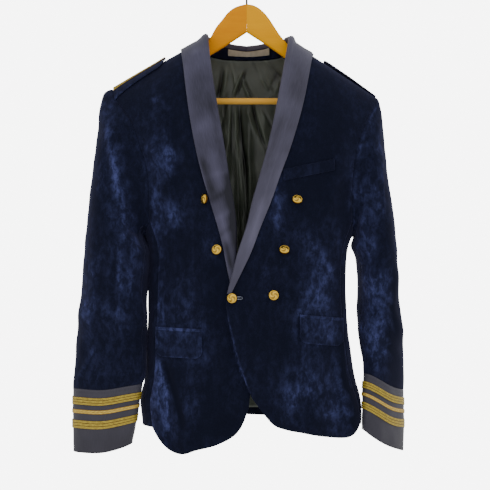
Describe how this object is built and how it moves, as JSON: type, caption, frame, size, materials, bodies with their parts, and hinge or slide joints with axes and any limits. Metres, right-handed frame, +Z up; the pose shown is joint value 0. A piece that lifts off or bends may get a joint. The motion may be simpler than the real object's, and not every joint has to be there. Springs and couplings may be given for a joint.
{
  "type": "tuxedo jacket on a coat hanger",
  "caption": "Velvet tuxedo jacket with a satin shawl collar, braided cuffs, flap pockets and domed buttons, hanging open at the neck on a wooden hanger with a trouser bar and wire hook.",
  "frame": {"origin": "inside of the top of the hanger's hook, where a rail would carry it", "axes": "+Z up, the jacket's front faces -Y, +X is the wearer's left"},
  "size_m": [0.5845, 0.1781, 0.858],
  "materials": {
    "velvet": "deep navy cotton velvet, brushed unevenly",
    "satin": "dark blue-grey satin with a soft sheen",
    "lining": "dark green-black lining satin, creased",
    "label": "bare woven label, grey-brown",
    "gold_braid": "twisted gold metal thread",
    "gold_button": "polished, with a raised relief",
    "wood": "clear lacquer over orange-yellow wood",
    "bar_wood": "paler turned wood, clear lacquer",
    "steel": "plain round wire"
  },
  "bodies": {
    "root": {"front_left": "velvet", "front_right": "velvet", "back_left": "velvet", "back_right": "velvet", "side_left": "velvet", "side_right": "velvet", "top_sleeve_left": "velvet", "top_sleeve_right": "velvet", "under_sleeve_left": "velvet", "under_sleeve_right": "velvet", "cuff_left": "satin", "cuff_right": "satin", "braid_upper_left": "gold_braid", "braid_upper_right": "gold_braid", "braid_middle_left": "gold_braid", "braid_middle_right": "gold_braid", "braid_lower_left": "gold_braid", "braid_lower_right": "gold_braid", "collar_left": "satin", "collar_right": "satin", "neck_band": "velvet", "neck_label": "label", "lining_back": "lining", "breast_welt": "velvet", "flap_left": "velvet", "flap_right": "velvet", "jet_left": "velvet", "jet_right": "velvet", "button_upper_left": "gold_button", "button_upper_right": "gold_button", "button_middle_left": "gold_button", "button_middle_right": "gold_button", "button_front": "gold_button", "button_lower_right": "gold_button", "strap_left": "velvet", "strap_right": "velvet", "strap_braid_left": "gold_braid", "strap_braid_right": "gold_braid", "hanger_left": "wood", "hanger_right": "wood", "hanger_bar": "bar_wood", "hanger_hook": "steel"}
  },
  "joints": []
}
